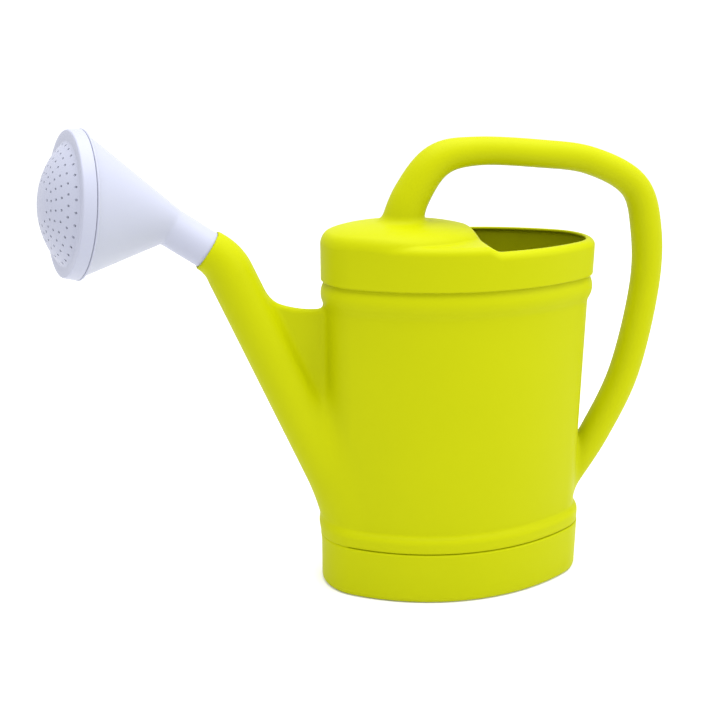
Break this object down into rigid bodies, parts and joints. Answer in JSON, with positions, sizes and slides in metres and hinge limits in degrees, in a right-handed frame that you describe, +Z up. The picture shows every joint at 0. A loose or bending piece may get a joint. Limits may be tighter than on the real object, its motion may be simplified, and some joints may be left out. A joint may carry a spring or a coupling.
{
  "type": "watering can",
  "caption": "Oval moulded plastic watering can with a loop handle, a half-covered mouth and a push-on sprinkler rose that turns on its neck.",
  "frame": {"origin": "centre of the tank's flat bottom, on the surface the can stands on", "axes": "+X to the back (handle), -X to the front (spout), +Z up, +Y to the left side seen from behind"},
  "size_m": [0.5688, 0.1474, 0.4416],
  "materials": {
    "can_plastic": "satin lime-yellow blow-moulded polyethylene",
    "rose_plastic": "satin lavender-white moulded polyethylene"
  },
  "bodies": {
    "can": {"tank_base": "can_plastic", "tank_wall": "can_plastic", "top_band": "can_plastic", "top_cover": "can_plastic", "handle": "can_plastic", "spout": "can_plastic", "spout_gusset": "can_plastic"},
    "rose": {"rose_neck": "rose_plastic", "rose_body": "rose_plastic"},
    "face": {"rose_face": "rose_plastic"}
  },
  "joints": [
    {"name": "rose_turn", "type": "hinge", "parent": "can", "child": "rose", "pos_m": [-0.2284, 0, 0.33531], "axis": [-0.8241, 0, 0.5664], "continuous": true},
    {"name": "face_off", "type": "slide", "parent": "rose", "child": "face", "axis": [-0.9392, -0.3127, 0.142], "range_m": [0, 0.03]}
  ]
}
